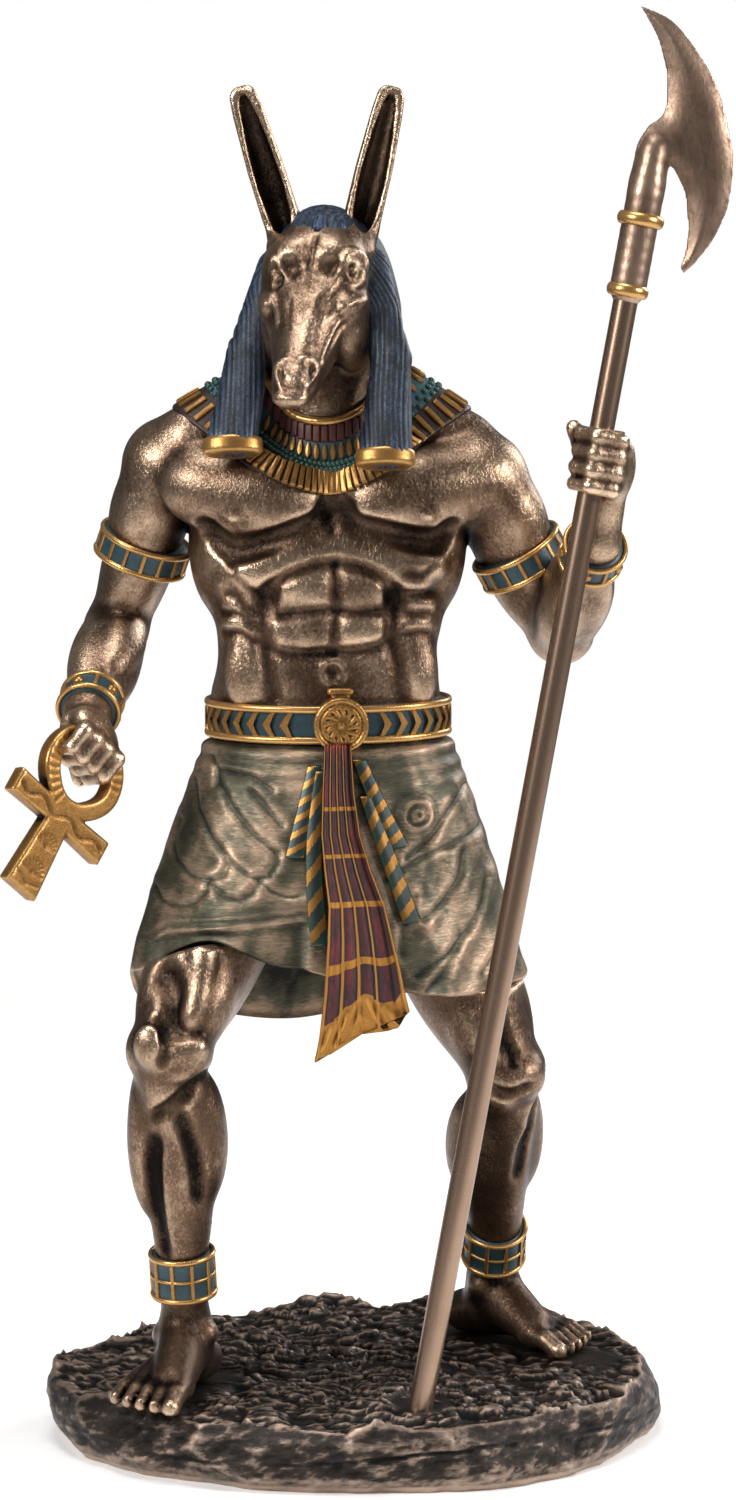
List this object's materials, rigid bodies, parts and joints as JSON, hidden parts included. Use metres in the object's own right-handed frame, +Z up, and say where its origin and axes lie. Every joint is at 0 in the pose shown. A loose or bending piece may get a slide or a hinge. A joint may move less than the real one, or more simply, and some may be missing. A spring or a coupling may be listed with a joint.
{
  "type": "standing figurine",
  "caption": "Cold-cast bronze figure with a long-eared animal head, kilt and broad collar, holding an ankh and a halberd on a rock plinth.",
  "frame": {"origin": "centre of the plinth's flat underside", "axes": "+Z up, -Y the way the figure faces, +X towards the figure's left hand, which holds the halberd"},
  "size_m": [0.1414, 0.106, 0.2856],
  "materials": {
    "rock_bronze": "dark patina, rubbed on its high edges",
    "cast_bronze": "antique bronze with painted and gilded dress",
    "antique_gold": "gold paint with a dark wash",
    "shaft_bronze": "brushed metal, bronze toned",
    "blade_bronze": "rubbed bronze with gold rings"
  },
  "bodies": {
    "root": {"plinth": "rock_bronze", "figure": "cast_bronze", "ankh": "antique_gold", "staff_shaft": "shaft_bronze", "halberd_head": "blade_bronze"}
  },
  "joints": []
}
